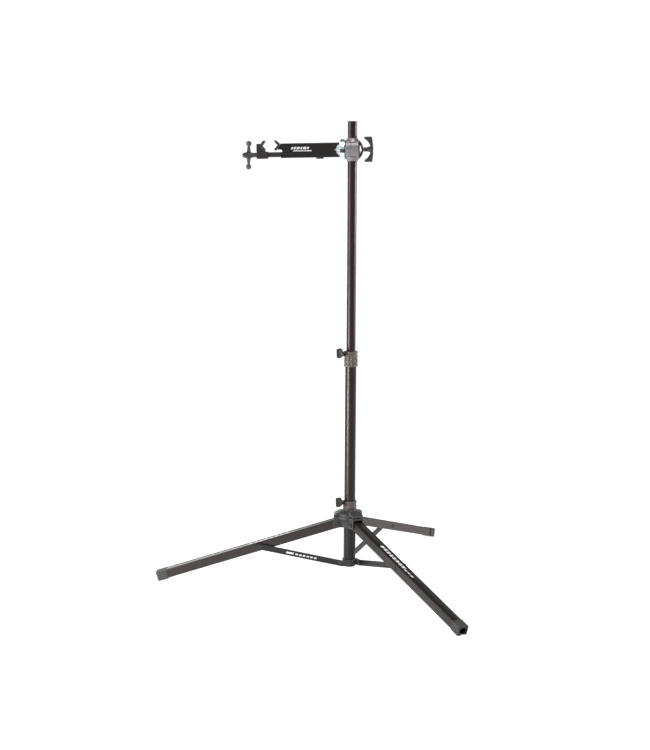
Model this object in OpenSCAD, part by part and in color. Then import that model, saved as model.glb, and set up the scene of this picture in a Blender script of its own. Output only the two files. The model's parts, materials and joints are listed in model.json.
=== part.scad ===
// Folding bike repair stand: a tripod base with three braced legs, a two-stage round mast and a
// rotating clamp head on an arm. Millimetres, +Z up. The origin is on the mast axis, on the floor.
// The clamp arm points along -X, and the three legs are 120 degrees apart.

/* [Mast] */
// Outer diameter of the lower (main) tube
main_tube_d = 34.9; // [34:0.1:36]
// Outer diameter of the upper tube
upper_tube_d = 28.6; // [28:0.1:29]
// Height of the top of the mast
mast_top_z = 1438; // [1380:1:1500]
// Length of the upper tube
upper_tube_len = 1001; // [960:1:1060]
// Height of the top of the height-adjustment collar
collar_top_z = 735; // [700:1:760]

/* [Tripod] */
// Radius from the mast axis to each foot's floor contact
foot_radius = 605; // [560:1:640]
// Radius of the leg pivots
leg_pivot_r = 38; // [37:0.5:42]
// Height of the leg pivots with the legs open
leg_pivot_z = 188; // [175:1:200]
// Turn of the tripod about the mast, from leg_left pointing along -X
tripod_turn = 3.8; // [0:0.1:10]
// Width of a leg extrusion
leg_w = 30; // [28:0.5:30]
// Height of a leg extrusion
leg_h = 28; // [26:0.5:28]
// Distance along a leg from its pivot to its brace
brace_dist = 255; // [240:1:270]
// Height of a brace
strut_h = 18; // [15:0.5:18]
// Radius and height of the brace pivots on the lower hub
strut_pivot_r = 25; // [24.5:0.5:26]
// Height of the brace pivots on the lower hub
strut_pivot_z = 60; // [59.5:0.5:61]

/* [Head] */
// Height of the centre of the head barrel
head_z = 1353; // [1300:1:1370]
// Droop of the clamp arm below level
head_cant = 1.2; // [0:0.1:2]
// Radius of the head barrel
barrel_r = 29.5; // [28:0.5:31]
// Height of the clamp arm's section
arm_h = 44; // [44:0.5:46]
// Width of the clamp arm's section
arm_w = 28; // [28:0.5:30]
// Distance from the mast axis to the jaw end of the arm
arm_reach = 217; // [210:1:225]
// Distance between the inner corners of the two V jaws
jaw_gap = 49; // [46:1:54]

/* [Hidden] */
$fn = 64;

eps = 0.5;                 // overshoot of a cutting shape past the face it opens
slack = 0.4;               // gap between faces of pieces that move past each other
running = 0.05;            // radial clearance of a shaft in its bore

LEFT = 180 + tripod_turn;  // directions of the three legs
FRONT = 300 + tripod_turn;
BACK = 60 + tripod_turn;

main_r = main_tube_d / 2;
main_ri = main_r - 1.6;
upper_r = upper_tube_d / 2;
upper_ri = upper_r - 1.5;
upper_z0 = mast_top_z - upper_tube_len;
collar_z0 = collar_top_z - 47;
main_top_z = collar_top_z - 23;

hub_base_z = 47;           // underside of the lower hub
hub_floor_z = 50;          // seat of the main tube in the lower hub
hub_rim_z = 70;            // top of the lower hub
hub_r = 20.5;
pivot_r = 4;               // all the tripod's pivot pins
strut_t = 4.5;             // thickness of a brace
strut_v = 18;              // a brace's inner face, measured across the leg from its middle
strut_out_v = strut_v + strut_t;
lug_r = 7.6;               // rounded end of the lower hub's lugs

casting_z0 = leg_pivot_z - 13;
roof_z = leg_pivot_z + 34;    // edge of the hub's domed roof
neck_z = leg_pivot_z + 49;
hub_collar_h = 22;
hub_knob_z = neck_z + 13;  // where each knob's axis crosses the mast's
mid_knob_z = collar_top_z - 13;
knob_dir = 218;            // direction in which both clamp knobs point
knob_rise = 12;            // and how far they point upwards
cheek_v = leg_w / 2 + slack;
cheek_t = 4;
leg_end_r = leg_h / 2;
leg_slot_top = leg_pivot_z + leg_end_r + 1.5;
sleeve_r = 19.05;

boot_w = leg_w + 4;
boot_h = leg_h + 3;
boot_over = 8;             // how far a boot's rim stands past the end of its leg
boot_len = 34;
land_cut = 1.2;            // depth of the flat worn on a boot's lower edge where it meets the floor
// The leg runs from its pivot so that the boot's lower outer edge touches the floor.
reach_r = foot_radius - leg_pivot_r;
reach_z = leg_pivot_z + land_cut;
reach = sqrt(reach_r * reach_r + reach_z * reach_z);
leg_slope = atan2(reach_z, reach_r) - asin(boot_h / 2 / reach);
leg_total = sqrt(reach * reach - boot_h * boot_h / 4);
leg_len = leg_total - boot_over;
// The brace runs from the lower hub to the leg's brace point.
brace_r = leg_pivot_r + brace_dist * cos(leg_slope);
brace_z = leg_pivot_z - brace_dist * sin(leg_slope);
strut_slope = atan2(brace_z - strut_pivot_z, brace_r - strut_pivot_r);
strut_len = norm([brace_r - strut_pivot_r, brace_z - strut_pivot_z]);

axle_r = 4.95;
axle_bore = axle_r + running;
barrel_x0 = -23;           // ends and seam of the head barrel along its own axis
barrel_x1 = 19.5;
barrel_seam = -3.2;
cap_x1 = 34;
boss_r = 16.5;             // the barrel's upright boss round the mast
boss_half = 34.5;
bracket_x0 = -36;          // the plated bracket's flange
bracket_x1 = barrel_x0 - 0.3;
bracket_r = 30.5;
key_top_z = 26.2;          // flat on the flange under the friction core's top key
tongue_x0 = -62;
arm_x1 = -38;
arm_x0 = -arm_reach;
arm_wall = 2;
arm_in_w = arm_w - 2 * arm_wall;
arm_in_h = arm_h - 2 * arm_wall;
notch_x = -29;             // centre and radius of the round notch in the arm's side walls
notch_r = 20.5;
screw_z = -11.4;           // height of the lead screw below the arm's middle
bar_side = 15;
bar_x0 = arm_x0 - 53;
bar_x1 = arm_x0 + 67;
tube_z = 16.5;             // height of the clamped tube's middle above the arm's middle
fixed_v_x = arm_x0 - 9.5;   // inner corner of the fixed V jaw
moving_v_x = fixed_v_x - jaw_gap;
jaw_w = 44;
base_x1 = moving_v_x + 18; // the moving jaw's base, from the mouth of its pocket to its back
base_x0 = moving_v_x - 16;
pocket_x0 = base_x0 + 11.5;
base_z0 = -23.3;
base_z1 = -2.2;
button_x0 = -110;
button_x1 = -88;
handle_x1 = base_x0 - 0.3;
handle_len = 44.5;
handle_mid_x = handle_x1 - 25;
screw_x0 = handle_mid_x + 5;
screw_x1 = -84;            // inner end of the lead screw, past the release button

// ---------- helpers ----------

// Puts a shape drawn as (out, across, up) in the direction of a leg; across is to the leg's left.
module toward(direction) rotate([0, 0, direction]) children();

// A horizontal cylinder across a leg, from v0 to v1.
module cross_pin(out, up, v0, v1, r, fn = 48)
    translate([out, v1, up]) rotate([90, 0, 0]) cylinder(r = r, h = v1 - v0, $fn = fn);

// Extrudes a side view (out, up) across a leg, from v0 to v1.
module side_plate(v0, v1)
    translate([0, v1, 0]) rotate([90, 0, 0]) linear_extrude(v1 - v0) children();

// The leg's own frame: along the leg, across it, and square to its top.
module along_leg() translate([leg_pivot_r, 0, leg_pivot_z]) rotate([0, leg_slope, 0]) children();

// A tube round Z.
module ring(r_out, r_in, z0, z1)
    translate([0, 0, z0]) difference() {
        cylinder(r = r_out, h = z1 - z0);
        translate([0, 0, -eps]) cylinder(r = r_in, h = z1 - z0 + 2 * eps);
    }

// The head's frame: its X axis is the barrel's axis, drooping towards -X.
module head() translate([0, 0, head_z]) rotate([0, -head_cant, 0]) children();

// A cylinder along the head's X axis.
module x_rod(x0, x1, r, z = 0, y = 0, fn = 64)
    translate([x0, y, z]) rotate([0, 90, 0]) cylinder(r = r, h = x1 - x0, $fn = fn);

// A block from corner to corner.
module block(a, b) translate(a) cube(b - a);

// Extrudes a side view (x, z) of the head across it, centred.
module slab(width) rotate([90, 0, 0]) linear_extrude(width, center = true) children();

// A rectangle with round corners, centred.
module round_rect(w, h, r) {
    square([w - 2 * r, h], center = true);
    square([w, h - 2 * r], center = true);
    for (x = [-1, 1], y = [-1, 1])
        translate([x * (w / 2 - r), y * (h / 2 - r)]) circle(r = r, $fn = 32);
}

// ---------- lower tube and hub ----------

module main_tube() color("#241f20")
    ring(main_r, main_ri, hub_floor_z, main_top_z);

module tube_plug() color("#2c2c2e") {
    translate([0, 0, hub_floor_z]) cylinder(r = main_ri, h = 6);
}

// One strut fork: two lugs joined by a block, with the brace between them.
module strut_fork() {
    lug_x = strut_pivot_r;
    inner = strut_v - 0.3;
    outer = strut_out_v + 0.3;
    difference() {
        side_plate(cheek_v, outer + 3) {
            translate([lug_x, strut_pivot_z]) circle(r = lug_r + 0.8);
            translate([0, strut_pivot_z - lug_r - 0.8]) square([lug_x, 2 * lug_r + 1.6]);
        }
        side_plate(inner, outer)
            translate([lug_x - strut_h / 2 - slack, strut_pivot_z - 20]) square([40, 40]);
        cross_pin(lug_x, strut_pivot_z, 0, 40, pivot_r);
    }
}

module lower_hub() color("#4a4a4b") difference() {
    union() {
        rotate_extrude() polygon([
            [0, hub_base_z], [hub_r - 3, hub_base_z], [hub_r, hub_base_z + 3],
            [hub_r, hub_rim_z - 1], [hub_r - 1, hub_rim_z], [0, hub_rim_z]]);
        for (a = [LEFT, FRONT, BACK]) toward(a) strut_fork();
    }
    translate([0, 0, hub_floor_z]) cylinder(r = main_r, h = 40);
    translate([0, 0, hub_base_z - eps]) cylinder(r = 4, h = 10);
}

// A pin in each fork, with a button head on the outside.
module strut_hub_pins() color("#8d8f92") for (a = [LEFT, FRONT, BACK]) toward(a) {
    cross_pin(strut_pivot_r, strut_pivot_z, cheek_v, strut_out_v + 3.3, pivot_r);
    cross_pin(strut_pivot_r, strut_pivot_z, strut_out_v + 3.3, strut_out_v + 4.6, 5.4);
}

// ---------- knobs and screws shared by the two collars ----------

knob_neck_r = 24.2;        // where a knob's neck begins, from the mast axis
knob_wing_r = 36;
knob_back_r = 50.5;

// Puts a shape drawn along +X on a knob's axis.
module at_knob(z) translate([0, 0, z]) rotate([0, -knob_rise, knob_dir]) children();

// A thumb knob: a neck that widens into a flat two-winged grip.
module thumb_knob(z) at_knob(z) color("#6f6664") difference() {
    union() {
        translate([knob_neck_r, 0, 0]) rotate([0, 90, 0])
            cylinder(r1 = 5.2, r2 = 9, h = knob_wing_r - knob_neck_r, $fn = 40);
        rotate([20, 0, 0]) translate([knob_wing_r - 1.5, 0, 0]) rotate([90, 0, 0])
            linear_extrude(15, center = true) polygon([
                [0, -5.5], [4, -12.5], [7, -14.5], [16, -14],
                [16, 14], [7, 14.5], [4, 12.5], [0, 5.5]]);
    }
    x_rod(knob_neck_r - eps, knob_back_r - 6, 4);
}

// The knob's steel screw, from a gap off its pressure pad into the knob.
module knob_screw(z, tip_r) at_knob(z) color("#3a3a3c")
    x_rod(tip_r, knob_back_r - 6, 4);

// A pressure pad: a short plug whose inner end fits the round tube.
module pad(z, inner_r, outer_r) color("#a88a4a") difference() {
    at_knob(z) x_rod(0, outer_r, 3.6);
    cylinder(r = inner_r + running, h = 2000);
}

// ---------- height collar ----------

rib_h = 5;
collar_rib_r = 22;
collar_core_r = 20.6;
rib_dir = 291;

// The collar grips the main tube below and carries the bush above it.
module mid_collar() color("#6f6664") difference() {
    union() {
        ring(collar_core_r, 10, collar_z0, collar_top_z);
        for (i = [0:3]) ring(collar_rib_r, 10, collar_z0 + 14 * i, collar_z0 + 14 * i + rib_h);
        at_knob(mid_knob_z) x_rod(15, 23.6, 7);
        // An upright rib joins the lower bands.
        rotate([0, 0, rib_dir]) block([15, -5, collar_z0], [collar_rib_r, 5, collar_z0 + 33]);
    }
    translate([0, 0, collar_z0 - eps]) cylinder(r = main_r, h = main_top_z - collar_z0 + eps);
    translate([0, 0, main_top_z - eps]) cylinder(r = 17, h = 20 + eps);
    cylinder(r = upper_r + 0.5, h = 2000);
    at_knob(mid_knob_z) x_rod(10, 40, 4 + running);
    // Small windows between the lower bands, on both sides of the rib.
    for (level = [0, 1], a = [30:30:330]) rotate([0, 0, rib_dir + a])
        translate([18.6, -2, collar_z0 + rib_h + 1 + 14 * level]) cube([6, 4, 7]);
}

module collar_bush() color("#1d1d1f") difference() {
    union() {
        ring(main_ri, upper_r + running, collar_z0 + 4, main_top_z);
        ring(17, upper_r + running, main_top_z, main_top_z + 20);
    }
    at_knob(mid_knob_z) x_rod(10, 40, 4.3);
}

module mid_pad() pad(mid_knob_z, upper_r, upper_r + 1.6);
module mid_knob() thumb_knob(mid_knob_z);
module mid_screw() knob_screw(mid_knob_z, upper_r + 2);

// ---------- sliding tripod hub ----------

casting_bore = main_r + 0.95;

// The side view of a leg's two cheeks and the roof between them.
module cheek_shape() {
    outer = leg_pivot_r + 12.5;
    polygon([
        [8, casting_z0 + 1], [outer - 5, casting_z0 + 1], [outer - 1.4, casting_z0 + 2.6],
        [outer, casting_z0 + 6], [outer, roof_z - 8], [outer - 2, roof_z - 4],
        [outer - 6, roof_z - 1], [30, roof_z + 5], [8, roof_z + 8]]);
}

module tripod_hub() color("#58585a") difference() {
    union() {
        rotate_extrude() polygon([
            [0, casting_z0], [24, casting_z0], [28, casting_z0 + 3], [31, roof_z - 24],
            [37, roof_z - 20], [38.5, roof_z - 18], [38.5, roof_z - 4], [36, roof_z],
            [30, roof_z + 4], [23, roof_z + 8], [21.5, roof_z + 11], [21.5, neck_z], [0, neck_z]]);
        for (a = [LEFT, FRONT, BACK]) toward(a)
            side_plate(-cheek_v - cheek_t, cheek_v + cheek_t) cheek_shape();
    }
    translate([0, 0, casting_z0 - eps]) cylinder(r = casting_bore, h = 100);
    for (a = [LEFT, FRONT, BACK]) toward(a) {
        block([23.5, -cheek_v, casting_z0 - eps], [70, cheek_v, leg_slot_top]);
        cross_pin(leg_pivot_r, leg_pivot_z, -40, 40, pivot_r);
        // A groove across the end of the roof makes two stacked lips.
        block([leg_pivot_r + 9.5, -40, roof_z - 11.5], [70, 40, roof_z - 8.5]);
    }
    // The same groove round the body, between the legs.
    ring(50, 36.5, roof_z - 11.5, roof_z - 8.5);
}

module hub_liner() color("#1d1d1f")
    ring(casting_bore, main_r + running, casting_z0 + 4, neck_z - 1);

sleeve_window_dir = 318;
sleeve_window_r = 4;

// A skirt under the hub: it lands on the lower hub when the legs are open.
module hub_sleeve() color("#5d5d5f") difference() {
    ring(sleeve_r, main_r + 0.3, hub_rim_z + 0.3, casting_z0);
    // A round-ended window shows the tube.
    rotate([0, 0, sleeve_window_dir]) {
        block([10, -sleeve_window_r, hub_rim_z + 26], [30, sleeve_window_r, casting_z0 - 8]);
        for (z = [hub_rim_z + 26, casting_z0 - 8]) x_rod(10, 30, sleeve_window_r, z = z);
    }
}

module hub_collar() color("#6f6c6a") difference() {
    union() {
        ring(20.4, main_r + 0.35, neck_z, neck_z + hub_collar_h);
        ring(22, main_r + 0.35, neck_z + 1, neck_z + 7);
        ring(22, main_r + 0.35, neck_z + hub_collar_h - 6, neck_z + hub_collar_h);
        at_knob(hub_knob_z) x_rod(18, 23.6, 7);
    }
    cylinder(r = main_r + 0.35, h = 2000);
    at_knob(hub_knob_z) x_rod(10, 40, 4 + running);
    rotate([0, 0, 330]) translate([17, -0.8, neck_z + 7]) cube([10, 1.6, 30]);
}

module hub_pad() pad(hub_knob_z, main_r, main_r + 1.6);
module hub_knob() thumb_knob(hub_knob_z);
module hub_screw() knob_screw(hub_knob_z, main_r + 2);

module leg_pivot_bolts() color("#a9abae") for (a = [LEFT, FRONT, BACK]) toward(a) {
    cross_pin(leg_pivot_r, leg_pivot_z, -cheek_v - cheek_t - 3.4, cheek_v + cheek_t, pivot_r);
    cross_pin(leg_pivot_r, leg_pivot_z, cheek_v + cheek_t, cheek_v + cheek_t + 2.4, 5.8);
}

module leg_pivot_nuts() color("#a9abae") for (a = [LEFT, FRONT, BACK]) toward(a) difference() {
    cross_pin(leg_pivot_r, leg_pivot_z, -cheek_v - cheek_t - 3, -cheek_v - cheek_t, 6.4, 6);
    cross_pin(leg_pivot_r, leg_pivot_z, -40, 0, pivot_r);
}

// ---------- legs ----------

// A leg's section, with x across the leg and y square to its top: a crowned top between two
// thin edge beads.
module leg_section() intersection() {
    union() {
        round_rect(leg_w, leg_h, 2.5);
        for (s = [-1, 1]) translate([s * (leg_w / 2 - 1.2), leg_h / 2 - 1.2]) circle(r = 1.2, $fn = 24);
    }
    union() {
        translate([0, leg_h / 2 - 0.5 - 60]) circle(r = 60, $fn = 180);
        for (s = [-1, 1]) translate([s * (leg_w / 2 - 1.2), leg_h / 2 - 1.2]) circle(r = 1.2, $fn = 24);
    }
}

// Stands a section up along the leg, from s0 to s1.
module run_along(s0, s1) translate([s0, 0, 0]) rotate([90, 0, 90]) linear_extrude(s1 - s0) children();

module leg(direction) color("#2b2728") toward(direction) along_leg() difference() {
    union() {
        run_along(0, leg_len) leg_section();
        cross_pin(0, 0, -leg_w / 2, leg_w / 2, leg_end_r);
    }
    run_along(leg_end_r + 6, leg_len + eps) round_rect(leg_w - 4, leg_h - 4.5, 2);
    cross_pin(0, 0, -40, 40, pivot_r + running);
    cross_pin(brace_dist, 0, -40, 40, pivot_r);
}

// The boot: a rubber cup over the leg's end, its rim open and its underside arched.
module foot(direction) color("#4f534f") intersection() {
    toward(direction) along_leg() difference() {
        run_along(leg_total - boot_len, leg_total) round_rect(boot_w, boot_h, 4);
        run_along(leg_total - boot_len - eps, leg_len) leg_section();
        run_along(leg_len - eps, leg_total + eps) polygon([
            [-11, -5], [-11, 3], [-6, 9.5], [6, 9.5], [11, 3], [11, -5], [6, -8.5], [-6, -8.5]]);
        translate([leg_total - boot_len / 2, 0, -boot_h / 2 - 7]) rotate([0, 90, 0])
            cylinder(r = 10, h = boot_len, $fn = 48, center = true);
    }
    block([-800, -800, 0], [800, 800, 200]);
}

// A flanged rivet nut through the leg, on which the brace bolt's spacer bears.
module brace_nut(direction) color("#8d8f92") toward(direction) along_leg() difference() {
    union() {
        cross_pin(brace_dist, 0, -leg_w / 2, leg_w / 2 + 0.8, pivot_r);
        cross_pin(brace_dist, 0, -leg_w / 2 - 1.2, -leg_w / 2, 5.5);
        cross_pin(brace_dist, 0, leg_w / 2, leg_w / 2 + 0.8, 6);
    }
    cross_pin(brace_dist, 0, -leg_w / 2 - 2, leg_w / 2 + 2, 2.2);
}

// ---------- braces ----------

module strut(direction) color("#2f2d2e") toward(direction)
    translate([strut_pivot_r, 0, strut_pivot_z]) rotate([0, -strut_slope, 0]) difference() {
        side_plate(strut_v, strut_out_v) {
            circle(r = strut_h / 2);
            translate([strut_len, 0]) circle(r = strut_h / 2);
            translate([0, -strut_h / 2]) square([strut_len, strut_h]);
        }
        cross_pin(0, 0, 0, 40, pivot_r + running);
        cross_pin(strut_len, 0, 0, 40, pivot_r);
        // A shallow pressed panel along the outer face.
        side_plate(strut_out_v - 0.8, strut_out_v + 1) {
            translate([32, -strut_h / 2 + 4.5]) square([strut_len - 64, strut_h - 9]);
            for (x = [32, strut_len - 32]) translate([x, 0]) circle(r = strut_h / 2 - 4.5);
        }
    }

// The brace's shoulder bolt, with a spacer on the leg's side and a head outside.
module strut_bolt(direction) color("#8d8f92") toward(direction)
    translate([strut_pivot_r, 0, strut_pivot_z]) rotate([0, -strut_slope, 0]) {
        cross_pin(strut_len, 0, cheek_v + 0.8, strut_out_v, pivot_r);
        cross_pin(strut_len, 0, cheek_v + 0.8, strut_v, 6.5);
        cross_pin(strut_len, 0, strut_out_v, strut_out_v + 2.2, 6.5);
    }

// ---------- upper mast ----------

guide_z0 = upper_z0 + 3;
guide_h = 30;

module guide_bush() color("#1d1d1f")
    ring(main_ri - running, upper_r + running, guide_z0, guide_z0 + guide_h);

module guide_clips() color("#3a3a3c") {
    ring(upper_r + 1.1, upper_r, guide_z0 - 2.3, guide_z0 - 0.3);
    ring(upper_r + 1.1, upper_r, guide_z0 + guide_h + 0.3, guide_z0 + guide_h + 2.3);
}

module upper_tube() color("#1f1b1c") difference() {
    ring(upper_r, upper_ri, upper_z0, mast_top_z);
    head() x_rod(-40, 40, axle_r + 1);
}

module mast_cap() color("#1d1d1f") translate([0, 0, mast_top_z - 12]) {
    cylinder(r = upper_ri, h = 12);
}

// ---------- head barrel ----------

// Solid outline of the barrel: a chamfered drum along X with an upright boss round the mast.
module barrel_outline() {
    head() rotate([0, 90, 0]) rotate_extrude($fn = 96) polygon([
        [0, barrel_x0], [barrel_r - 3.5, barrel_x0], [barrel_r, barrel_x0 + 3.5],
        [barrel_r, barrel_x1], [0, barrel_x1]]);
    translate([0, 0, head_z]) for (flip = [0, 1]) mirror([0, 0, flip]) {
        cylinder(r = boss_r, h = boss_half);
        translate([0, 0, boss_half - 12]) cylinder(r1 = boss_r + 7, r2 = boss_r, h = 10);
    }
}

// The part of the barrel between two stations along its axis.
module barrel_part(x0, x1) difference() {
    intersection() {
        barrel_outline();
        head() block([x0, -60, -60], [x1, 60, 60]);
    }
    translate([0, 0, head_z - 60]) cylinder(r = upper_r, h = 120);
    head() {
        x_rod(-60, 60, axle_bore);
        barrel_screw_places() x_rod(-60, 60, 2.5, fn = 32);
    }
}

module barrel_screw_places() for (y = [-21.5, 21.5], z = [-9, 9]) translate([0, y, z]) children();

module barrel_left() color("#6c686a") barrel_part(barrel_x0, barrel_seam);
module barrel_right() color("#6c686a") barrel_part(barrel_seam, barrel_x1);

module barrel_screws() color("#3a3a3c") head()
    barrel_screw_places() x_rod(barrel_x0 + 3, barrel_x1, 2.5, fn = 32);

module head_cap() color("#1d191b") head() difference() {
    rotate([0, 90, 0]) rotate_extrude($fn = 96) difference() {
        intersection() {
            translate([0, barrel_x1]) square([barrel_r, cap_x1 - barrel_x1]);
            translate([0, cap_x1 - 36.5]) circle(r = 36.5, $fn = 180);
        }
    }
    x_rod(0, 60, axle_r + 0.6);
}

// ---------- clamp arm ----------

module axle_bolt() color("#8d8f92") head() {
    x_rod(-40, 59, axle_r);
    x_rod(-44, -40, 9, fn = 6);
}

// Plated bracket: a flange with key windows, and a tongue that fills the arm's end.
module arm_bracket() color("#c9d3da") head() difference() {
    union() {
        x_rod(bracket_x0, bracket_x1, bracket_r, fn = 96);
        block([tongue_x0, -arm_in_w / 2, -arm_in_h / 2], [bracket_x0, arm_in_w / 2, arm_in_h / 2]);
    }
    x_rod(-60, 0, axle_r);
    x_rod(-44, -40, 9, fn = 6);
    x_rod(tongue_x0 - eps, -44, 6.2, z = screw_z, fn = 48);
    core_shape();
    arm_rivet_places() rotate([90, 0, 0]) cylinder(r = 2.4, h = 60, center = true, $fn = 32);
}

// The friction core: a disc behind the flange, with keys at its top, front and back.
module core_shape() {
    x_rod(-30, bracket_x1, 21);
    block([bracket_x0, -7, 18], [bracket_x1, 7, 28]);
    block([bracket_x0, -16, key_top_z], [bracket_x1, 16, 40]);
    for (side = [0, 1]) mirror([0, side, 0])
        block([bracket_x0, 19, -9.4], [bracket_x1, bracket_r + 0.3, 1.9]);
}

module friction_core() color("#3b3a3d") head() difference() {
    intersection() {
        core_shape();
        union() {
            x_rod(bracket_x0, bracket_x1, bracket_r - 0.2, fn = 96);
            block([bracket_x0 + 0.5, -13.5, key_top_z], [bracket_x1 - 0.5, 13.5, key_top_z + 4.6]);
        }
    }
    x_rod(-60, 0, axle_r);
}

module arm_rivet_places() for (z = [-13, 13]) translate([-55, 0, z]) children();

// The arm's section, with a thin raised rail along each upper edge.
module arm_section() {
    round_rect(arm_w, arm_h, 3);
    translate([0, arm_h / 2 - 4.8]) square([arm_w + 1.2, 1.4], center = true);
}

module arm_tube() color("#2d282b") head() difference() {
    translate([arm_x0, 0, 0]) rotate([90, 0, 90]) linear_extrude(arm_x1 - arm_x0) arm_section();
    translate([arm_x0 - eps, 0, 0]) rotate([90, 0, 90])
        linear_extrude(arm_x1 - arm_x0 + 2 * eps) square([arm_in_w, arm_in_h], center = true);
    // Round notch with a pointed nose at the bracket end, and a scoop at the jaw end.
    slab(arm_w + 10) {
        translate([notch_x, 0]) circle(r = notch_r);
        polygon([[-56, 0], [-48, 3.4], [-48, -3.4]]);
        translate([arm_x0, -1]) circle(r = 4, $fn = 32);
    }
    cross_rivets(eps);
    // Slot for the release button.
    block([button_x0 - slack, -9.5, -arm_h], [button_x1 + slack, 9.5, -arm_h / 2 + 5]);
}

// Flush rivets across the arm; over lengthens them past its faces.
module cross_rivets(over = 0) arm_rivet_places() rotate([90, 0, 0]) {
    cylinder(r = 2.4, h = arm_w, center = true, $fn = 32);
    for (s = [0, 1]) mirror([0, 0, s]) translate([0, 0, arm_w / 2 - 1.6])
        cylinder(r = 3, h = 1.6 + over, $fn = 32);
}

module arm_rivets() color("#3a3a3c") head() cross_rivets();

// Guide in the arm's mouth: it fills the upper part and straddles the slide bar below.
module arm_end_plug() color("#1d1d1f") head() difference() {
    block([arm_x0 + 1, -arm_in_w / 2, -arm_in_h / 2], [arm_x0 + 26, arm_in_w / 2, arm_in_h / 2]);
    block([arm_x0, -bar_side / 2 - 0.35, -arm_in_h / 2 - 1],
        [arm_x0 + 27, bar_side / 2 + 0.35, screw_z + bar_side / 2 + 0.35]);
    block([arm_x0, -8, stem_z0], [arm_x0 + 14, 8, stem_z1]);
    slab(arm_w + 10) translate([arm_x0, -1]) circle(r = 4, $fn = 32);
}

// ---------- jaws ----------

// Side view of a V jaw opening towards +x, with its inner corner at the origin.
module v_shape(thick, arm) {
    run = arm * sin(v_half);
    rise = arm * cos(v_half);
    shift = [-thick * cos(v_half), thick * sin(v_half)];
    polygon([
        [0, 0], [run, rise], [run, rise] + shift, [-thick / cos(v_half), 0],
        [run + shift[0], -rise - shift[1]], [run, -rise]]);
}

v_half = 41;               // slope of each arm of a V from upright
v_arm = 16;
v_thick = 5.4;
v_back = v_thick / cos(v_half);
stem_z0 = tube_z - 13;     // the fixed jaw's stem
stem_z1 = tube_z + 3;

// The fixed jaw opens towards -X; its stem is held in the arm's end plug.
module fixed_jaw() color("#2d282b") head() {
    translate([fixed_v_x, 0, tube_z]) slab(jaw_w) mirror([1, 0]) difference() {
        v_shape(v_thick + 1.7, v_arm + 1);
        v_shape(v_thick, v_arm + 3);
        translate([0, -20]) square([40, 40]);
    }
    difference() {
        block([fixed_v_x + 1, -8, stem_z0], [arm_x0 + 14, 8, stem_z1]);
        translate([fixed_v_x, 0, tube_z]) slab(60) mirror([1, 0]) v_shape(v_thick, v_arm + 30);
    }
}

module fixed_jaw_pad() color("#232122") head()
    translate([fixed_v_x, 0, tube_z]) slab(jaw_w) mirror([1, 0]) v_shape(v_thick, v_arm);

module slide_bar() color("#454043") head() difference() {
    translate([bar_x0, 0, screw_z]) rotate([90, 0, 90])
        linear_extrude(bar_x1 - bar_x0) round_rect(bar_side, bar_side, 1.5);
    x_rod(bar_x0 - eps, bar_x1 + eps, axle_r + 0.35, z = screw_z, fn = 48);
}

// The moving jaw: a base round the slide bar, a column at its back and an arched web between.
module moving_jaw() color("#2d282b") head() difference() {
    union() {
        slab(28) {
            translate([base_x0, base_z0]) square([base_x1 - base_x0, base_z1 - base_z0]);
            difference() {
                translate([base_x0, base_z0]) square([base_x1 - base_x0, 20.5 - base_z0]);
                translate([base_x1, 20]) circle(r = 22);
                translate([base_x1 - 1, base_z1]) square([5, 40]);
            }
        }
        block([base_x0 + 1, -12, 8], [moving_v_x - v_back + 3, 12, tube_z + 5.5]);
    }
    translate([pocket_x0, 0, screw_z]) rotate([90, 0, 90])
        linear_extrude(100) square([bar_side, bar_side], center = true);
    x_rod(base_x0 - eps, base_x1, axle_bore, z = screw_z, fn = 48);
    translate([moving_v_x, 0, tube_z]) slab(60) v_shape(v_thick, v_arm);
}

module moving_jaw_pad() color("#232122") head()
    translate([moving_v_x, 0, tube_z]) slab(jaw_w) v_shape(v_thick, v_arm);

// ---------- clamp screw and handle ----------

module lead_screw() color("#8d8f92") head()
    x_rod(screw_x0, screw_x1, axle_r, z = screw_z, fn = 48);

// Keeps the screw in the moving jaw's back wall.
module screw_clip() color("#3a3a3c") head() difference() {
    x_rod(pocket_x0 + 0.3, pocket_x0 + 2.3, 6.6, z = screw_z, fn = 48);
    x_rod(pocket_x0 - 1, pocket_x0 + 4, axle_r, z = screw_z, fn = 48);
}

// The cross bar's place: on the screw's axis, turned a little off upright.
module at_handle() translate([handle_mid_x, 0, screw_z]) rotate([-17, 0, 0]) children();

module handle_body() color("#3c3538") head() difference() {
    translate([0, 0, screw_z]) rotate([0, 90, 0]) rotate_extrude() polygon([
        [0, handle_x1 - handle_len], [4, handle_x1 - handle_len], [7, handle_x1 - handle_len + 3],
        [8.6, handle_mid_x - 10], [9.2, handle_mid_x], [8.6, handle_mid_x + 8],
        [6.9, handle_mid_x + 14], [6.9, handle_x1], [0, handle_x1]]);
    x_rod(screw_x0, handle_x1 + eps, axle_r, z = screw_z, fn = 48);
    at_handle() cylinder(r = 4, h = 60, center = true, $fn = 40);
}

tommy_half = 36.6;
ball_r = 8.2;

module tommy_bar() color("#3c3538") head() at_handle() {
    cylinder(r = 4, h = 2 * tommy_half, center = true, $fn = 40);
    for (s = [-1, 1]) translate([0, 0, s * tommy_half]) sphere(r = ball_r, $fn = 48);
    for (s = [0, 1]) mirror([0, 0, s]) translate([0, 0, 9.4]) cylinder(r1 = 6.5, r2 = 4, h = 17);
}

// ---------- T knob ----------

tip_x0 = 37;               // the T's flared tips and the crown of its back
tip_z = 38;
knob_x1 = 63.5;
knob_nut_x0 = 55;
knob_nut_x1 = 60;

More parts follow.
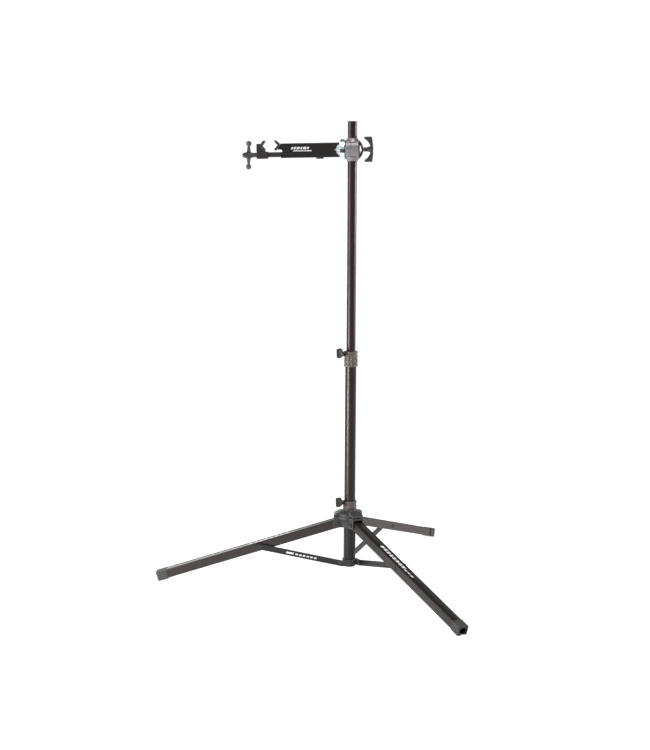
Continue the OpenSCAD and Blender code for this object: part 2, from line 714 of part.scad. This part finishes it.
module t_knob() color("#332e31") head() difference() {
    union() {
        x_rod(cap_x1 + 0.3, 56, 6.6);
        translate([46, 0, 0]) rotate([0, 90, 0]) cylinder(r1 = 6.6, r2 = 10, h = 10);
        slab(20) intersection() {
            difference() {
                translate([tip_x0, -tip_z]) square([30, 2 * tip_z]);
                translate([20.6, 0]) circle(r = 35.2, $fn = 144);
            }
            translate([knob_x1 - 187, 0]) circle(r = 187, $fn = 360);
        }
    }
    x_rod(30, 60, axle_bore);
    x_rod(knob_nut_x0, knob_nut_x1, 8.2, fn = 6);
}

module t_knob_nut() color("#a88a4a") head() difference() {
    x_rod(knob_nut_x0, knob_nut_x1, 8.2, fn = 6);
    x_rod(40, 70, axle_bore);
}

// ---------- quick release ----------

button_top_z = -2;

// A yoke round the lead screw: its top bar engages the screw, its underside is the button.
module release_button() color("#1d1d1f") head() difference() {
    union() {
        block([button_x0, -9, -arm_h / 2 - 4], [button_x1, 9, button_top_z]);
        block([button_x0 - 2, -9, button_top_z - 4], [button_x1 + 2, 9, button_top_z]);
    }
    block([button_x0 - 5, -axle_r - 0.4, screw_z - axle_r - 3.4],
        [button_x1 + 5, axle_r + 0.4, screw_z + axle_r + 0.3]);
}

spring_r = 4.5;
spring_wire = 0.6;

// The return spring between the yoke and the roof of the arm, drawn as its outer sleeve.
module button_spring() color("#a9abae") head() difference() {
    translate([(button_x0 + button_x1) / 2, 0, button_top_z + 0.1])
        cylinder(r = spring_r, h = arm_in_h / 2 - button_top_z - 0.2, $fn = 40);
    translate([(button_x0 + button_x1) / 2, 0, button_top_z - 1])
        cylinder(r = spring_r - 2 * spring_wire, h = 40, $fn = 40);
}

// ---------- assembly ----------

main_tube();
tube_plug();
lower_hub();
strut_hub_pins();
mid_collar();
collar_bush();
mid_pad();
mid_knob();
mid_screw();
tripod_hub();
hub_liner();
hub_sleeve();
hub_collar();
hub_pad();
leg_pivot_bolts();
leg_pivot_nuts();
hub_knob();
hub_screw();
leg(LEFT);  // leg_left
leg(FRONT);  // leg_front
leg(BACK);  // leg_back
foot(LEFT);  // foot_left
foot(FRONT);  // foot_front
foot(BACK);  // foot_back
brace_nut(LEFT);  // brace_nut_left
brace_nut(FRONT);  // brace_nut_front
brace_nut(BACK);  // brace_nut_back
strut(LEFT);  // strut_left
strut(FRONT);  // strut_front
strut(BACK);  // strut_back
strut_bolt(LEFT);  // strut_bolt_left
strut_bolt(FRONT);  // strut_bolt_front
strut_bolt(BACK);  // strut_bolt_back
guide_bush();
upper_tube();
guide_clips();
mast_cap();
barrel_left();
barrel_right();
barrel_screws();
head_cap();
arm_bracket();
friction_core();
axle_bolt();
arm_tube();
arm_rivets();
arm_end_plug();
fixed_jaw();
fixed_jaw_pad();
t_knob();
t_knob_nut();
release_button();
button_spring();
slide_bar();
moving_jaw();
moving_jaw_pad();
lead_screw();
screw_clip();
handle_body();
tommy_bar();
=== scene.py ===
# Bike repair stand: detailed pieces, materials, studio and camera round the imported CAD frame.
import json
from math import cos, pi, radians, sin

import bpy
import bmesh
from mathutils import Matrix, Vector


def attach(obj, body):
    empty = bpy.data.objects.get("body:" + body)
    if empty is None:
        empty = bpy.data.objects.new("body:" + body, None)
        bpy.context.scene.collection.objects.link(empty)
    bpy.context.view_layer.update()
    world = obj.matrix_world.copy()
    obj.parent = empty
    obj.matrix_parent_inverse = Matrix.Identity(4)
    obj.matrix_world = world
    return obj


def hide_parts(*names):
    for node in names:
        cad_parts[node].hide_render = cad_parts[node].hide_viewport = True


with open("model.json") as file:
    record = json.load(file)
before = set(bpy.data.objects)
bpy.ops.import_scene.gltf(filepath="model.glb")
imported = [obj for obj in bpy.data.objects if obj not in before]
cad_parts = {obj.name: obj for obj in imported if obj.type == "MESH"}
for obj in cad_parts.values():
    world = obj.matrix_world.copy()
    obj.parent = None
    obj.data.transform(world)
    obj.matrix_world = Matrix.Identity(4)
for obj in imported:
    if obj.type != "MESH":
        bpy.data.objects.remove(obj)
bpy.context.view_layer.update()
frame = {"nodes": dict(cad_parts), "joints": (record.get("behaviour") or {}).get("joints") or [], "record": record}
NODES = frame["nodes"]
RECORD = frame["record"]
JOINTS = {joint["name"]: joint for joint in frame["joints"]}
SLOT_OF = {row["node"]: row["material_slot"] for row in RECORD["subparts"]}
BODY_OF = {node: body for body, nodes in RECORD["behaviour"]["bodies"].items() for node in nodes}
MM = 0.001

# ---------------------------------------------------------------- camera

LENS_MM = 66.57
SENSOR_MM = 36.0
CAMERA_DISTANCE = 4.270
CAMERA_HEIGHT = 1.316
CAMERA_SIDE = 2.03       # degrees round the mast from facing +Y
CAMERA_PAN = 1.075       # degrees from pointing at the mast
CAMERA_TILT = 8.74       # degrees down
CAMERA_ROLL = -0.26


def make_camera():
    turn = radians(CAMERA_SIDE)
    place = Vector((sin(turn), -cos(turn), 0)) * CAMERA_DISTANCE
    place.z = CAMERA_HEIGHT
    heading = radians(CAMERA_SIDE + CAMERA_PAN)
    tilt, roll = radians(CAMERA_TILT), radians(CAMERA_ROLL)
    level_right = Vector((cos(heading), sin(heading), 0))
    level_ahead = Vector((-sin(heading), cos(heading), 0))
    ahead = level_ahead * cos(tilt) - Vector((0, 0, 1)) * sin(tilt)
    level_up = level_ahead * sin(tilt) + Vector((0, 0, 1)) * cos(tilt)
    right = level_right * cos(roll) - level_up * sin(roll)
    up = level_right * sin(roll) + level_up * cos(roll)
    data = bpy.data.cameras.new("camera")
    data.lens = LENS_MM
    data.sensor_width = SENSOR_MM
    data.clip_end = 60
    camera = bpy.data.objects.new("camera", data)
    bpy.context.scene.collection.objects.link(camera)
    axes = Matrix((right, up, -ahead)).transposed()
    camera.matrix_world = Matrix.Translation(place) @ axes.to_4x4()
    bpy.context.scene.camera = camera


make_camera()

# ---------------------------------------------------------------- materials


class Look:
    """Builds one procedural material, node by node."""

    def __init__(self, name):
        self.material = bpy.data.materials.new(name)
        self.material.use_nodes = True
        self.tree = self.material.node_tree
        self.shader = self.tree.nodes["Principled BSDF"]
        self.where = self.add("ShaderNodeTexCoord").outputs["Object"]

    def add(self, kind, **values):
        node = self.tree.nodes.new(kind)
        for key, value in values.items():
            setattr(node, key, value)
        return node

    def link(self, source, target):
        self.tree.links.new(source, target)

    def noise(self, scale, detail=3.0, stretch=(1, 1, 1), rough=0.5):
        mapping = self.add("ShaderNodeMapping")
        mapping.inputs["Scale"].default_value = stretch
        self.link(self.where, mapping.inputs["Vector"])
        node = self.add("ShaderNodeTexNoise")
        node.inputs["Scale"].default_value = scale
        node.inputs["Detail"].default_value = detail
        node.inputs["Roughness"].default_value = rough
        self.link(mapping.outputs["Vector"], node.inputs["Vector"])
        return node.outputs["Fac"]

    def ramp(self, source, low, high, at=(0.3, 0.7)):
        node = self.add("ShaderNodeValToRGB")
        ends = node.color_ramp.elements
        ends[0].position, ends[1].position = at
        ends[0].color, ends[1].color = (*low, 1), (*high, 1)
        self.link(source, node.inputs["Fac"])
        return node.outputs["Color"]

    def spread(self, source, low, high, at=(0.3, 0.7)):
        node = self.add("ShaderNodeMapRange")
        node.inputs["From Min"].default_value = at[0]
        node.inputs["From Max"].default_value = at[1]
        node.inputs["To Min"].default_value = low
        node.inputs["To Max"].default_value = high
        self.link(source, node.inputs["Value"])
        return node.outputs["Result"]

    def mix(self, factor, a, b):
        node = self.add("ShaderNodeMix", data_type="RGBA")
        self.link(factor, node.inputs["Factor"])
        self.link(a, node.inputs[6])
        node.inputs[7].default_value = (*b, 1)
        return node.outputs[2]

    def bump(self, source, strength, distance):
        node = self.add("ShaderNodeBump")
        node.inputs["Strength"].default_value = strength
        node.inputs["Distance"].default_value = distance
        self.link(source, node.inputs["Height"])
        self.link(node.outputs["Normal"], self.shader.inputs["Normal"])

    def paint(self, source):
        self.link(source, self.shader.inputs["Base Color"])

    def uneven(self, source, low, high):
        self.link(self.spread(source, low, high), self.shader.inputs["Roughness"])

    def edges(self, low=0.515, high=0.56):
        """1 on convex edges of a dense mesh, 0 elsewhere, from its own pointiness: the mask for the painted edge
        highlight.
        """
        shape = self.add("ShaderNodeNewGeometry")
        return self.spread(shape.outputs["Pointiness"], 0.0, 1.0, at=(low, high))

    def fixed(self, **values):
        for key, value in values.items():
            self.shader.inputs[key.replace("_", " ")].default_value = value


def shades(colour, contrast):
    return tuple(c * (1 - contrast) for c in colour), tuple(c * (1 + contrast) for c in colour)


def moulded(look, colour, rough, grain=900, bump=0.12, edge=0.0, metallic=0.0, contrast=0.14,
            ior=1.34):
    """A moulded or cast surface: mottled colour, fine grain, uneven roughness, and convex edges painted paler as a
    painted highlight.
    """
    mottled = look.ramp(look.noise(55, 4), *shades(colour, contrast))
    if edge:
        # Convex edges lifted towards a paler colour: a painted highlight.
        mottled = look.mix(look.edges(), mottled, tuple(c + edge for c in colour))
    look.paint(mottled)
    look.uneven(look.noise(130, 3), rough - 0.06, rough + 0.06)
    look.bump(look.noise(grain, 2), bump, 0.4 * MM)
    look.fixed(Metallic=metallic, IOR=ior)


def anodised(look, colour, rough, stretch, ior=1.5):
    """Black anodised metal drawn along one axis, with faint draw lines."""
    lines = look.noise(600, 2, stretch=stretch)
    look.paint(look.ramp(lines, *shades(colour, 0.18)))
    look.uneven(look.noise(40, 3), rough - 0.03, rough + 0.04)
    look.bump(lines, 0.03, 0.2 * MM)
    look.fixed(IOR=ior)


def plated(look, colour, rough):
    """Bright zinc plate with a blue passivation tint and cloudy patches."""
    look.paint(look.ramp(look.noise(70, 4, rough=0.6), *shades(colour, 0.1)))
    look.uneven(look.noise(160, 3), rough - 0.06, rough + 0.1)
    look.bump(look.noise(500, 2), 0.08, 0.2 * MM)
    look.fixed(Metallic=0.85)


def machined(look, colour, rough, metallic=1.0):
    """Turned steel or brass with fine tool marks."""
    marks = look.noise(1400, 2, stretch=(1, 1, 4))
    look.paint(look.ramp(marks, *shades(colour, 0.15)))
    look.uneven(look.noise(200, 2), rough - 0.05, rough + 0.08)
    look.bump(marks, 0.05, 0.2 * MM)
    look.fixed(Metallic=metallic)


def printed(look, colour, rough):
    """Screen-printed ink with faint speckle."""
    look.paint(look.ramp(look.noise(900, 3), *shades(colour, 0.08)))
    look.uneven(look.noise(300, 2), rough - 0.05, rough + 0.05)
    look.bump(look.noise(1500, 2), 0.1, 0.05 * MM)


# Finishes that pale their convex edges paint a highlight there.
FINISHES = {
    "black_tube": (anodised, dict(colour=(0.016, 0.011, 0.011), rough=0.13, stretch=(1, 1, 0.01))),
    "leg_black": (anodised, dict(colour=(0.054, 0.053, 0.054), rough=0.25, stretch=(1, 1, 0.2), ior=1.75)),
    "strut_black": (anodised, dict(colour=(0.072, 0.069, 0.070), rough=0.34, stretch=(1, 1, 0.2), ior=1.6)),
    "arm_black": (anodised, dict(colour=(0.014, 0.010, 0.011), rough=0.26, stretch=(0.02, 1, 1))),
    "bar_black": (anodised, dict(colour=(0.025, 0.021, 0.024), rough=0.32, stretch=(0.02, 1, 1))),
    "hub_casting": (moulded, dict(colour=(0.031, 0.030, 0.030), rough=0.44, edge=0.06)),
    "sleeve_nylon": (moulded, dict(colour=(0.018, 0.017, 0.017), rough=0.30, ior=1.25)),
    "collar_nylon": (moulded, dict(colour=(0.088, 0.073, 0.069), rough=0.46, edge=0.09)),
    "knob_nylon": (moulded, dict(colour=(0.016, 0.012, 0.012), rough=0.42, edge=0.06, ior=1.25)),
    "bearing_nylon": (moulded, dict(colour=(0.015, 0.015, 0.015), rough=0.4)),
    "black_nylon": (moulded, dict(colour=(0.016, 0.015, 0.016), rough=0.42, edge=0.05)),
    "boot_rubber": (moulded, dict(colour=(0.034, 0.036, 0.034), rough=0.6, grain=700, bump=0.25, edge=0.05)),
    "pad_rubber": (moulded, dict(colour=(0.026, 0.023, 0.024), rough=0.55, grain=800, bump=0.25, edge=0.09)),
    "barrel_metal": (moulded, dict(colour=(0.19, 0.175, 0.186), rough=0.36, grain=1200, bump=0.05,
                                   edge=0.05, metallic=0.25, contrast=0.05)),
    "cap_gloss": (moulded, dict(colour=(0.012, 0.009, 0.009), rough=0.22, grain=1500, bump=0.02, ior=1.4)),
    "handle_grey": (moulded, dict(colour=(0.040, 0.033, 0.036), rough=0.34, edge=0.10)),
    "zinc_plate": (plated, dict(colour=(0.58, 0.67, 0.72), rough=0.27)),
    "steel_pin": (machined, dict(colour=(0.5, 0.5, 0.51), rough=0.28)),
    "black_steel": (machined, dict(colour=(0.045, 0.044, 0.045), rough=0.32, metallic=0.5)),
    "spring_steel": (machined, dict(colour=(0.58, 0.58, 0.6), rough=0.22)),
    "brass_pad": (machined, dict(colour=(0.66, 0.48, 0.22), rough=0.28)),
    "white_print": (printed, dict(colour=(0.56, 0.56, 0.56), rough=0.45)),
}


def finish_for(slot, paint_edge_glint=False):
    """The slot's material, optionally with its convex edges painted paler as a painted highlight, which needs a
    dense mesh.
    """
    name = slot + "_worn" if paint_edge_glint else slot
    if name not in bpy.data.materials:
        kind, settings = FINISHES[slot]
        kind(Look(name), **{key: value for key, value in settings.items() if paint_edge_glint or key != "edge"})
    return bpy.data.materials[name]


def dress(piece, slot, paint_edge_glint=False):
    piece.data.materials.clear()
    piece.data.materials.append(finish_for(slot, paint_edge_glint))


# ---------------------------------------------------------------- carried-over CAD nodes


SAME_POINT = 0.002 * MM     # vertices closer than this are one
SHARP_EDGE = 30             # degrees; sharper edges are not shaded across


def round_edges(node, width):
    """Joins the node's split vertices and rounds its sharp edges, as modifiers only."""
    weld = node.modifiers.new("join", "WELD")
    weld.merge_threshold = SAME_POINT
    flat = node.modifiers.new("flat", "DECIMATE")
    flat.decimate_type = "DISSOLVE"
    flat.angle_limit = radians(0.4)
    bevel = node.modifiers.new("round", "BEVEL")
    bevel.width = width
    bevel.segments = 2
    bevel.limit_method = "ANGLE"
    bevel.angle_limit = radians(38)
    node.modifiers.new("shade", "WEIGHTED_NORMAL").keep_sharp = True


for name, node in NODES.items():
    dress(node, SLOT_OF[name])
    node.data.shade_smooth()
    node.data.set_sharp_from_angle(angle=radians(SHARP_EDGE))

# ---------------------------------------------------------------- softened castings and mouldings


def new_piece(name, mesh, body, slot, paint_edge_glint=False):
    piece = bpy.data.objects.new(name, mesh)
    bpy.context.scene.collection.objects.link(piece)
    dress(piece, slot, paint_edge_glint)
    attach(piece, body)
    return piece


def soften(node_name, voxel, rounds):
    """A cast or moulded twin of a CAD node: the same shape with blended corners and rounded edges."""
    name = node_name + "_shell"
    mesh = bpy.data.meshes.new("draft")
    shape = bmesh.new()
    shape.from_mesh(NODES[node_name].data)
    bmesh.ops.remove_doubles(shape, verts=shape.verts, dist=SAME_POINT)
    shape.to_mesh(mesh)
    shape.free()
    draft = bpy.data.objects.new("draft", mesh)
    bpy.context.scene.collection.objects.link(draft)
    remesh = draft.modifiers.new("remesh", "REMESH")
    remesh.mode = "VOXEL"
    remesh.voxel_size = voxel
    remesh.use_smooth_shade = True
    relax = draft.modifiers.new("relax", "SMOOTH")
    relax.factor = 0.5
    relax.iterations = rounds
    ready = draft.evaluated_get(bpy.context.evaluated_depsgraph_get())
    result = bpy.data.meshes.new_from_object(ready)
    result.name = name
    bpy.data.objects.remove(draft)
    result.shade_smooth()
    slot = SLOT_OF[node_name]
    # The twin gets its convex edges painted paler: a painted highlight.
    piece = new_piece(name, result, BODY_OF[node_name], slot, paint_edge_glint=True)
    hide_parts(node_name)


# Voxel size in millimetres, and rounds of smoothing.
SOFTENED = {
    "tripod_hub": (0.9, 5),
    "lower_hub": (0.45, 3),
    "hub_sleeve": (0.6, 3),
    "hub_collar": (0.6, 3),
    "mid_collar": (0.6, 3),
    "hub_knob": (0.5, 5),
    "mid_knob": (0.5, 5),
    "barrel_left": (0.7, 6),
    "barrel_right": (0.7, 6),
    "moving_jaw": (0.5, 3),
    "fixed_jaw": (0.5, 3),
    "moving_jaw_pad": (0.5, 4),
    "fixed_jaw_pad": (0.5, 4),
    "t_knob": (0.5, 4),
    "handle_body": (0.5, 4),
    "foot_left": (0.7, 4),
    "foot_front": (0.7, 4),
    "foot_back": (0.7, 4),
}
for node_name, (voxel, rounds) in SOFTENED.items():
    soften(node_name, voxel * MM, rounds)

# Width of the rounding in millimetres.
ROUNDED = {
    "leg_left": 0.9, "leg_front": 0.9, "leg_back": 0.9,
    "strut_left": 0.5, "strut_front": 0.5, "strut_back": 0.5,
    "arm_tube": 0.35, "slide_bar": 0.4, "arm_bracket": 0.5, "friction_core": 0.4,
    "release_button": 0.5, "upper_tube": 0.3, "mast_cap": 0.8,
    "strut_hub_pins": 0.8, "leg_pivot_bolts": 0.9, "leg_pivot_nuts": 0.5,
    "strut_bolt_left": 0.8, "strut_bolt_front": 0.8, "strut_bolt_back": 0.8,
}
for node_name, width in ROUNDED.items():
    round_edges(NODES[node_name], width * MM)

# ---------------------------------------------------------------- plain graphics

UP = Vector((0, 0, 1))
PRINT_LIFT = 0.12 * MM      # ink stands this far off its face


def strokes(name, body, origin, along, up, bars):
    """Flat ink bars on a face; each bar is (start, length, height, offset, slant) in metres."""
    outward = along.cross(up).normalized()
    mesh = bpy.data.meshes.new(name)
    shape = bmesh.new()
    for start, length, height, offset, slant in bars:
        corners = [(start, offset), (start + length, offset),
                   (start + length + slant, offset + height), (start + slant, offset + height)]
        points = [origin + along * a + up * b + outward * PRINT_LIFT for a, b in corners]
        shape.faces.new([shape.verts.new(point) for point in points])
    shape.to_mesh(mesh)
    shape.free()
    new_piece(name, mesh, body, "white_print")


def dashes(count, pitch, length, height, slant, first=0):
    return [((first + i) * pitch, length, height, 0, slant) for i in range(count)]


LEG_TOP = 13.55 * MM        # from the leg's middle to its crown
LEG_PITCH = 17 * MM
LEG_DASH = 12 * MM
LEG_MARGIN = 5 * MM         # from the leg's middle line to the foot of the dashes


def print_leg(side, start, large, small):
    """Large and then small dashes along a leg's top, placed from its fold joint."""
    joint = JOINTS[f"leg_{side}_fold"]
    across = Vector(joint["axis"])
    slope = radians(90 - joint["range_deg"][1])
    along = (across.cross(UP) * cos(slope) - UP * sin(slope)).normalized()
    top = along.cross(across) * LEG_TOP
    origin = Vector(joint["pos_m"]) + along * start + top - across * LEG_MARGIN
    strokes(f"leg_{side}_print", f"leg_{side}", origin, along, across,
            dashes(large, LEG_PITCH, LEG_DASH, 10 * MM, 4 * MM)
            + dashes(small, LEG_PITCH, LEG_DASH, 5 * MM, 2 * MM, first=large))


STRUT_SLOPE = 11.78         # degrees up from the lower hub
STRUT_PANEL = 1.45 * MM     # from the middle of the brace to its pressed panel
STRUT_PRINT = 0.180         # from the brace's inner pivot to where the print starts


def print_strut(side):
    """A bar and six dashes in the brace's panel, read from its outer end inward."""
    joint = JOINTS[f"strut_{side}_fold"]
    outward = -Vector(joint["axis"])
    radial = outward.cross(UP)
    rise = radians(STRUT_SLOPE)
    along = radial * cos(rise) + UP * sin(rise)
    up = UP * cos(rise) - radial * sin(rise)
    origin = Vector(joint["pos_m"]) + along * STRUT_PRINT - up * 3 * MM + outward * STRUT_PANEL
    pitch = 12 * MM
    dash = (8 * MM, 5 * MM, 0, 1.5 * MM)
    strokes(f"strut_{side}_print", f"strut_{side}", origin, -along, up,
            [(0, 24 * MM, 6 * MM, 0, 2 * MM)] + [(30 * MM + i * pitch, *dash) for i in range(6)])


ARM_FACE = 14 * MM          # from the arm's middle to its front face
ARM_PRINT = 0.186           # from the mast to where the print starts


def print_arm():
    """A row of slanted bars over one long thin bar, on the arm's front face."""
    joint = JOINTS["arm_spin"]
    along = Vector(joint["axis"])
    up = Vector((-along.z, 0, along.x))
    origin = Vector(joint["pos_m"]) - along * ARM_PRINT + Vector((0, -1, 0)) * ARM_FACE
    row = ((0, 5), (8, 5), (16, 9), (28, 5), (36, 9), (48, 5))
    strokes("arm_print", "clamp_arm", origin, along, up,
            [(x * MM, length * MM, 7 * MM, 3.5 * MM, 2.5 * MM) for x, length in row]
            + [(6 * MM, 56 * MM, 2.6 * MM, -2.5 * MM, 1 * MM)])


print_leg("left", 0.156, 8, 0)
print_leg("front", 0.150, 8, 3)
print_strut("left")
print_arm()

# ---------------------------------------------------------------- studio


def area_light(name, place, aim, width, height, radiance):
    data = bpy.data.lights.new(name, "AREA")
    data.shape = "RECTANGLE"
    data.size, data.size_y = width, height
    data.energy = radiance * pi * width * height
    lamp = bpy.data.objects.new(name, data)
    bpy.context.scene.collection.objects.link(lamp)
    lamp.location = place
    lamp.rotation_euler = (Vector(aim) - Vector(place)).to_track_quat("-Z", "Y").to_euler()
    lamp.visible_camera = False


FLOOR_HALF = 14.0           # metres from the stand to the floor's edge
FLOOR_DROP = 0.2 * MM       # keeps the floor clear of the feet


def make_floor():
    mesh = bpy.data.meshes.new("floor")
    h = FLOOR_HALF
    corners = [(-h, -h, 0), (h, -h, 0), (h, h, 0), (-h, h, 0)]
    mesh.from_pydata(corners, [], [(0, 1, 2, 3)])
    floor = bpy.data.objects.new("floor", mesh)
    bpy.context.scene.collection.objects.link(floor)
    floor.location.z = -FLOOR_DROP
    look = Look("floor")
    look.paint(look.ramp(look.noise(3, 2), (0.33, 0.33, 0.33), (0.35, 0.35, 0.35)))
    look.fixed(Roughness=0.9, Emission_Color=(1, 1, 1, 1))
    # The sweep is lit from below: brighter with distance, and dimmer for what it lights.
    away = look.add("ShaderNodeVectorMath", operation="LENGTH")
    look.link(look.where, away.inputs[0])
    shown = look.spread(away.outputs["Value"], 0.80, 1.03, at=(0.7, 2.6))
    seen = look.add("ShaderNodeLightPath").outputs["Is Camera Ray"]
    glow = look.add("ShaderNodeMapRange")
    glow.inputs["To Min"].default_value = 0.7
    look.link(seen, glow.inputs["Value"])
    look.link(shown, glow.inputs["To Max"])
    look.link(glow.outputs["Result"], look.shader.inputs["Emission Strength"])
    mesh.materials.append(look.material)


def fade(tree, source, low, high, at):
    """A smooth step from low to high as source crosses the range at."""
    node = tree.nodes.new("ShaderNodeMapRange")
    node.interpolation_type = "SMOOTHSTEP"
    node.inputs["From Min"].default_value, node.inputs["From Max"].default_value = at
    node.inputs["To Min"].default_value, node.inputs["To Max"].default_value = low, high
    tree.links.new(source, node.inputs["Value"])
    return node.outputs["Result"]


def make_world():
    world = bpy.data.worlds.new("studio")
    bpy.context.scene.world = world
    world.use_nodes = True
    tree = world.node_tree
    seen = tree.nodes["Background"]
    seen.inputs["Color"].default_value = (1, 1, 1, 1)
    seen.inputs["Strength"].default_value = 1.05
    # Other rays meet a low white horizon, a white backdrop standing behind the object, and a dim
    # ceiling.
    lit = tree.nodes.new("ShaderNodeBackground")
    place = tree.nodes.new("ShaderNodeTexCoord")
    split = tree.nodes.new("ShaderNodeSeparateXYZ")
    tree.links.new(place.outputs["Generated"], split.inputs["Vector"])
    behind = fade(tree, split.outputs["Y"], 0.0, 0.45, at=(0.2, 0.7))
    lowered = tree.nodes.new("ShaderNodeMath")
    lowered.operation = "SUBTRACT"
    tree.links.new(split.outputs["Z"], lowered.inputs[0])
    tree.links.new(behind, lowered.inputs[1])
    glow = fade(tree, lowered.outputs["Value"], 0.8, 0.14, at=(0.08, 0.24))
    tree.links.new(glow, lit.inputs["Strength"])
    rays = tree.nodes.new("ShaderNodeLightPath")
    mix = tree.nodes.new("ShaderNodeMixShader")
    tree.links.new(rays.outputs["Is Camera Ray"], mix.inputs["Fac"])
    tree.links.new(lit.outputs["Background"], mix.inputs[1])
    tree.links.new(seen.outputs["Background"], mix.inputs[2])
    tree.links.new(mix.outputs["Shader"], tree.nodes["World Output"].inputs["Surface"])


# Upright strips round the mast: degrees from facing it along +Y, distance, the heights of the
# lower and upper edges, width, radiance.
STRIPS = (
    ("left_upper", -70, 2.3, 0.75, 2.1, 0.5, 16),
    ("left_middle", -58, 2.3, 0.30, 0.75, 0.5, 26),
    ("left_low", -51, 1.30, 0.15, 0.52, 0.18, 74),
    ("right_upper", 101, 2.7, 1.05, 2.3, 0.45, 60),
    ("right_middle", 101, 2.7, 0.55, 1.05, 0.45, 20),
)

make_floor()
make_world()
for name, turn, away, low, high, width, radiance in STRIPS:
    side = Vector((sin(radians(turn)), -cos(radians(turn)), 0)) * away
    level = Vector((0, 0, (low + high) / 2))
    area_light(name, side + level, level, width, high - low, radiance)
area_light("top", (0.2, -1.0, 3.6), (0, 0, 0), 1.0, 1.0, 16)
area_light("behind", (-1.35, 2.4, 0.75), (-0.4, 0, 0.3), 1.4, 0.9, 3.5)
bpy.context.scene.view_settings.view_transform = "Standard"
